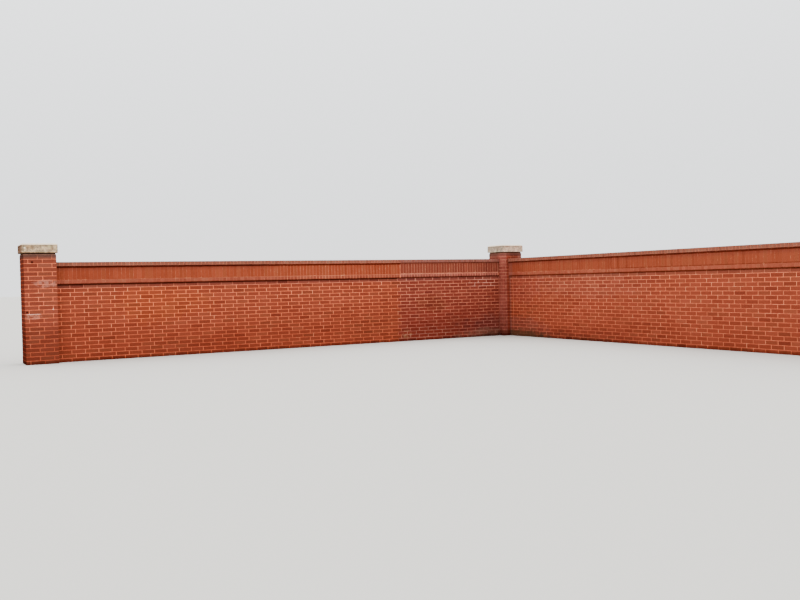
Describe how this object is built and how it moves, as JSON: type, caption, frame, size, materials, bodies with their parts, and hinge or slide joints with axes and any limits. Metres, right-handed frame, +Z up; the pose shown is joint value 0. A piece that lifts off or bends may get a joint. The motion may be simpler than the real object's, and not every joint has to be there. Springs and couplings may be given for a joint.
{
  "type": "brick garden wall",
  "caption": "L-shaped brick garden wall: square piers with cast-stone caps, a soldier-course band, brick-on-edge coping and a rebuilt stretch at the corner.",
  "frame": {"origin": "centre of the corner pier's base, at ground level", "axes": "+Z up; the left run goes from the corner pier along -X and the right run along -Y, so the garden is on the -X -Y side"},
  "size_m": [11.7174, 11.7174, 2.294],
  "materials": {
    "field_brick": "wire-cut red facing brick, matt",
    "band_brick": "orange-red facing brick, matt",
    "coping_brick": "weathered salmon-red brick on edge, matt",
    "rebuilt_brick": "darker browner facing brick, matt",
    "rebuilt_band_brick": "darker facing brick with pale joints, matt",
    "rebuilt_coping_brick": "brick on edge, matt",
    "pier_brick": "red facing brick with pale lime bloom, matt",
    "cap_stone": "cast stone, pale buff, weathered",
    "bed_mortar": "recessed dark mortar",
    "joint_filler": "dark weathered joint filler"
  },
  "bodies": {
    "root": {"left_field": "field_brick", "left_end_course": "band_brick", "left_soldiers": "band_brick", "left_coping": "coping_brick", "rebuilt_field": "rebuilt_brick", "rebuilt_end_course": "rebuilt_band_brick", "rebuilt_soldiers": "rebuilt_band_brick", "rebuilt_coping": "rebuilt_coping_brick", "right_field": "field_brick", "right_end_course": "band_brick", "right_soldiers": "band_brick", "right_coping": "coping_brick", "corner_joint": "joint_filler", "left_pier": "pier_brick", "left_pier_bed": "bed_mortar", "left_pier_cap": "cap_stone", "corner_pier": "pier_brick", "corner_pier_bed": "bed_mortar", "corner_pier_cap": "cap_stone", "right_pier": "pier_brick", "right_pier_bed": "bed_mortar", "right_pier_cap": "cap_stone"}
  },
  "joints": []
}
